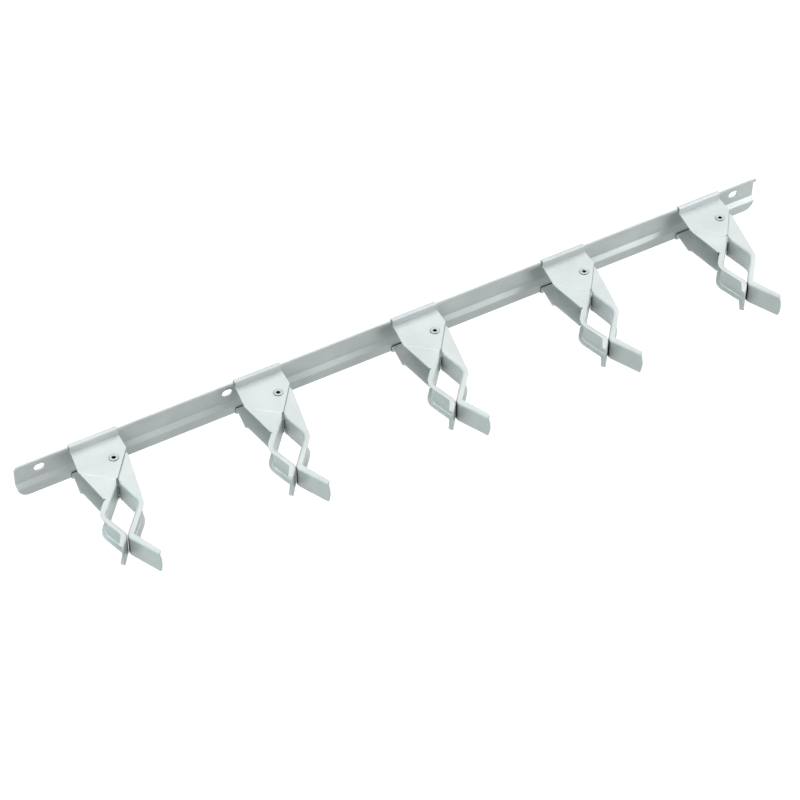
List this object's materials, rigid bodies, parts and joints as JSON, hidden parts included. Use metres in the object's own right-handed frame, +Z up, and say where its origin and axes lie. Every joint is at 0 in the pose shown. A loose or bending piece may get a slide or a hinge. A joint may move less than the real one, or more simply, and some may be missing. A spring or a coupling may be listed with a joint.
{
  "type": "spring clip tool rack",
  "caption": "Wall rail with spring-loaded scissor-like jaws of folded sheet steel that grip upright tool handles and slide along the rail.",
  "frame": {"origin": "middle of the row of screw slots, on the rail's back face, which lies on the wall", "axes": "+X along the rail to the viewer's right, +Y into the wall, +Z up"},
  "size_m": [0.7, 0.1361, 0.036],
  "materials": {
    "rail": "gloss white-grey coat on galvanised sheet steel",
    "jaws": "gloss white-grey coat on folded sheet steel",
    "rivets": "bright zinc plate",
    "springs": "drawn spring wire, oiled"
  },
  "bodies": {
    "rail": {"rail": "rail"},
    "clip_1": {"fixed_jaw_1": "jaws", "pivot_rivet_1": "rivets", "torsion_spring_1": "springs"},
    "jaw_1": {"moving_jaw_1": "jaws"},
    "clip_2": {"fixed_jaw_2": "jaws", "pivot_rivet_2": "rivets", "torsion_spring_2": "springs"},
    "jaw_2": {"moving_jaw_2": "jaws"},
    "clip_3": {"fixed_jaw_3": "jaws", "pivot_rivet_3": "rivets", "torsion_spring_3": "springs"},
    "jaw_3": {"moving_jaw_3": "jaws"},
    "clip_4": {"fixed_jaw_4": "jaws", "pivot_rivet_4": "rivets", "torsion_spring_4": "springs"},
    "jaw_4": {"moving_jaw_4": "jaws"},
    "clip_5": {"fixed_jaw_5": "jaws", "pivot_rivet_5": "rivets", "torsion_spring_5": "springs"},
    "jaw_5": {"moving_jaw_5": "jaws"}
  },
  "joints": [
    {"name": "clip_slide_1", "type": "slide", "parent": "rail", "child": "clip_1", "axis": [1, 0, 0], "range_m": [-0.015, 0.015]},
    {"name": "jaw_hinge_1", "type": "hinge", "parent": "clip_1", "child": "jaw_1", "pos_m": [-0.2775, -0.0281, -0.0047], "axis": [0, 0, 1], "range_deg": [0, 40], "stiffness_Nm_per_rad": 0.47, "springref_deg": -57.3, "deforming": ["torsion_spring_1"]},
    {"name": "clip_slide_2", "type": "slide", "parent": "rail", "child": "clip_2", "axis": [1, 0, 0], "range_m": [-0.015, 0.015]},
    {"name": "jaw_hinge_2", "type": "hinge", "parent": "clip_2", "child": "jaw_2", "pos_m": [-0.1325, -0.0281, -0.0047], "axis": [0, 0, 1], "range_deg": [0, 40], "stiffness_Nm_per_rad": 0.47, "springref_deg": -57.3, "deforming": ["torsion_spring_2"]},
    {"name": "clip_slide_3", "type": "slide", "parent": "rail", "child": "clip_3", "axis": [1, 0, 0], "range_m": [-0.015, 0.015]},
    {"name": "jaw_hinge_3", "type": "hinge", "parent": "clip_3", "child": "jaw_3", "pos_m": [0.0125, -0.0281, -0.0047], "axis": [0, 0, 1], "range_deg": [0, 40], "stiffness_Nm_per_rad": 0.47, "springref_deg": -57.3, "deforming": ["torsion_spring_3"]},
    {"name": "clip_slide_4", "type": "slide", "parent": "rail", "child": "clip_4", "axis": [1, 0, 0], "range_m": [-0.015, 0.015]},
    {"name": "jaw_hinge_4", "type": "hinge", "parent": "clip_4", "child": "jaw_4", "pos_m": [0.1575, -0.0281, -0.0047], "axis": [0, 0, 1], "range_deg": [0, 40], "stiffness_Nm_per_rad": 0.47, "springref_deg": -57.3, "deforming": ["torsion_spring_4"]},
    {"name": "clip_slide_5", "type": "slide", "parent": "rail", "child": "clip_5", "axis": [1, 0, 0], "range_m": [-0.015, 0.015]},
    {"name": "jaw_hinge_5", "type": "hinge", "parent": "clip_5", "child": "jaw_5", "pos_m": [0.2955, -0.0281, -0.0047], "axis": [0, 0, 1], "range_deg": [0, 40], "stiffness_Nm_per_rad": 0.47, "springref_deg": -57.3, "deforming": ["torsion_spring_5"]}
  ]
}
